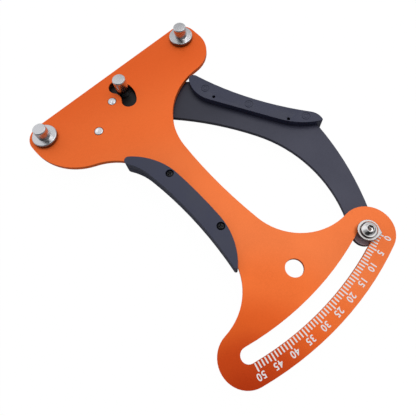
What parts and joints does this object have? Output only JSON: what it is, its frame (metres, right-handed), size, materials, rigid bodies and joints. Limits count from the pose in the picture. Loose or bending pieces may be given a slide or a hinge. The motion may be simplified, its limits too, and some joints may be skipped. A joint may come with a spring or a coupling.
{
  "type": "spoke tension meter",
  "caption": "Hand-held meter for the tension of wheel spokes: flat plate with fixed posts and a curved scale, and a spring-loaded lever with a moving post and a pointer.",
  "frame": {"origin": "centre of the pivot rivet's rear end, on the surface that the tool lies on", "axes": "+Z out of the scale side of the plate, along the pivot; +Y from the pivot towards the edge that the spoke crosses; +X along the line of the fixed posts, towards the lever's handle"},
  "size_m": [0.1578, 0.2271, 0.0224],
  "materials": {
    "orange_paint": "satin",
    "charcoal_paint": "satin",
    "grip_plastic": "matte",
    "bright_steel": "satin",
    "polished_steel": "polished",
    "black_steel": "satin"
  },
  "bodies": {
    "body": {"body_plate": "orange_paint", "fixed_post_left": "bright_steel", "fixed_post_right": "bright_steel", "post_washer_left": "bright_steel", "post_washer_right": "bright_steel", "post_nut_left": "bright_steel", "post_nut_right": "bright_steel", "pivot_rivet": "bright_steel", "pivot_washer_inner": "bright_steel", "pivot_washer_outer": "bright_steel", "spring_stud_plate": "bright_steel", "return_spring": "bright_steel", "body_grip_front": "grip_plastic", "body_grip_rear": "grip_plastic", "body_grip_screw_upper": "black_steel", "body_grip_screw_lower": "black_steel"},
    "lever": {"lever_arm": "charcoal_paint", "moving_post": "bright_steel", "moving_post_nut": "bright_steel", "spring_stud_lever": "bright_steel", "lever_grip_front": "grip_plastic", "lever_grip_rear": "grip_plastic", "lever_grip_screw_upper": "black_steel", "lever_grip_screw_lower": "black_steel", "pointer_spacer": "bright_steel", "pointer_washer": "polished_steel", "pointer_screw": "polished_steel", "pointer_nut": "bright_steel"}
  },
  "joints": [
    {"name": "lever_swing", "type": "hinge", "parent": "body", "child": "lever", "pos_m": [0, 0, 0.006], "axis": [0, 0, 1], "range_deg": [-30.3, 0], "stiffness_Nm_per_rad": 0.43, "springref_deg": 48.7, "deforming": ["return_spring"]}
  ]
}
